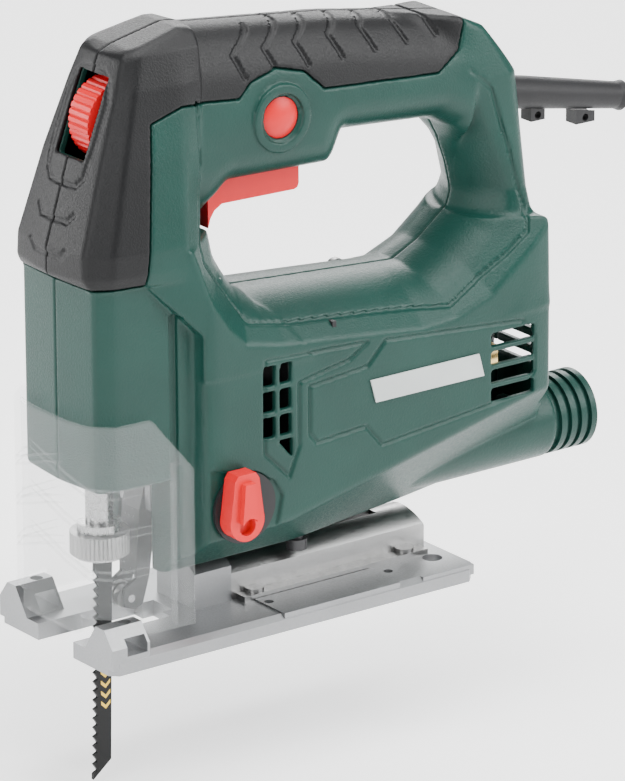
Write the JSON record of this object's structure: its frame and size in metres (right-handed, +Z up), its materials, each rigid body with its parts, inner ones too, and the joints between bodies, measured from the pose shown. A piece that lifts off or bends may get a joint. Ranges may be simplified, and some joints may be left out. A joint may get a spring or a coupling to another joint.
{
  "type": "jigsaw power tool",
  "caption": "Corded top-handle jigsaw with hand loop, soft nose hood, clear chip guard, tilting sole plate, orbit lever and rear dust socket.",
  "frame": {"origin": "where the blade's axis crosses the underside of the sole plate", "axes": "+X along the cut, the way the teeth face; +Y to the tool's left side; +Z up along the stroke, away from the sole"},
  "size_m": [0.2225, 0.0665, 0.2372],
  "materials": {
    "hard_green": "satin",
    "soft_grip": "matte",
    "control_red": "satin",
    "clear_guard": "gloss",
    "cast_aluminium": "matte",
    "zinc_steel": "satin",
    "blade_black": "satin",
    "steel": "satin",
    "dark_steel": "satin",
    "sintered_bronze": "matte",
    "laminations": "matte",
    "copper": "satin",
    "brass": "satin",
    "carbon": "matte",
    "black_plastic": "matte",
    "yellow_plastic": "gloss",
    "rubber": "matte",
    "white_print": "matte"
  },
  "bodies": {
    "machine": {"housing_left": "hard_green", "housing_right": "hard_green", "dust_port": "hard_green", "grip_left": "soft_grip", "grip_right": "soft_grip", "gear_housing": "cast_aluminium", "housing_screws": "zinc_steel", "gear_axle": "steel", "front_bearing": "steel", "rear_bearing": "steel", "fork_pin": "steel", "trigger_spring": "steel", "lock_spring": "steel", "bevel_lock_screw": "dark_steel", "lower_bush": "sintered_bronze", "upper_bush": "sintered_bronze", "stator_core": "laminations", "field_coils": "copper", "brush_holders": "brass", "carbon_brushes": "carbon", "fan_baffle": "black_plastic", "dust_duct": "black_plastic", "switch_module": "black_plastic", "speed_controller": "black_plastic", "cord_clamp": "black_plastic", "orbit_plate": "black_plastic", "hex_key_clips": "black_plastic", "capacitor": "yellow_plastic", "cord_sleeve": "rubber", "side_badge": "white_print"},
    "plunger": {"plunger_rod": "steel", "yoke_plate": "steel", "blade_holder": "steel", "saw_blade": "blade_black"},
    "blade_clamp": {"clamp_ring": "zinc_steel"},
    "armature": {"armature_shaft": "steel", "armature_core": "laminations", "armature_windings": "copper", "commutator": "copper", "fan": "black_plastic"},
    "gear": {"drive_gear": "steel", "crank_pin": "steel"},
    "fork": {"roller_fork": "dark_steel", "roller_pin": "steel"},
    "roller": {"guide_roller": "zinc_steel"},
    "orbit_selector": {"orbit_lever": "control_red", "orbit_cam": "black_plastic"},
    "trigger_body": {"trigger": "control_red"},
    "lock_on": {"lock_button": "control_red"},
    "dial": {"speed_dial": "control_red", "dial_spindle": "black_plastic"},
    "chip_guard": {"guard": "clear_guard"},
    "sole": {"base_plate": "cast_aluminium", "bevel_saddle": "zinc_steel", "bevel_core": "cast_aluminium", "plate_screws": "zinc_steel"}
  },
  "joints": [
    {"name": "stroke", "type": "slide", "parent": "machine", "child": "plunger", "axis": [0, 0, 1], "range_m": [-0.009, 0.009]},
    {"name": "clamp_twist", "type": "hinge", "parent": "plunger", "child": "blade_clamp", "pos_m": [0, 0, 0.0315], "axis": [0, 0, 1], "range_deg": [0, 60], "stiffness_Nm_per_rad": 0.05, "springref_deg": -17.19},
    {"name": "armature_spin", "type": "hinge", "parent": "machine", "child": "armature", "pos_m": [-0.09, 0, 0.0691], "axis": [1, 0, 0], "continuous": true},
    {"name": "gear_spin", "type": "hinge", "parent": "machine", "child": "gear", "pos_m": [-0.02, 0, 0.088], "axis": [1, 0, 0], "continuous": true},
    {"name": "fork_swing", "type": "hinge", "parent": "machine", "child": "fork", "pos_m": [-0.017, 0, 0.044], "axis": [0, 1, 0], "range_deg": [0, 5]},
    {"name": "roller_spin", "type": "hinge", "parent": "fork", "child": "roller", "pos_m": [-0.0084, 0, 0.012], "axis": [0, 1, 0], "continuous": true},
    {"name": "orbit_turn", "type": "hinge", "parent": "machine", "child": "orbit_selector", "pos_m": [-0.031, 0.03, 0.0405], "axis": [0, -1, 0], "range_deg": [0, 90]},
    {"name": "trigger_pull", "type": "slide", "parent": "machine", "child": "trigger_body", "axis": [0, 0, 1], "range_m": [0, 0.005], "stiffness_N_per_m": 800, "springref_m": -0.004, "deforming": ["trigger_spring"]},
    {"name": "lock_press", "type": "slide", "parent": "machine", "child": "lock_on", "axis": [0, -1, 0], "range_m": [0, 0.0016], "stiffness_N_per_m": 500, "springref_m": -0.003, "deforming": ["lock_spring"]},
    {"name": "dial_turn", "type": "hinge", "parent": "machine", "child": "dial", "pos_m": [-0.0076, 0, 0.164], "axis": [0, 1, 0], "range_deg": [-150, 30]},
    {"name": "plate_tilt", "type": "hinge", "parent": "machine", "child": "sole", "pos_m": [-0.05, 0, 0.005], "axis": [-1, 0, 0], "range_deg": [0, 45]},
    {"name": "guard_lift", "type": "slide", "parent": "machine", "child": "chip_guard", "axis": [0, 0, 1], "range_m": [0, 0.036]}
  ],
  "couplings": [
    {"joint": "gear_spin", "follows": "armature_spin", "ratio": -0.14545},
    {"joint": "guard_lift", "follows": "plate_tilt", "m_per_rad": 0.045836}
  ]
}
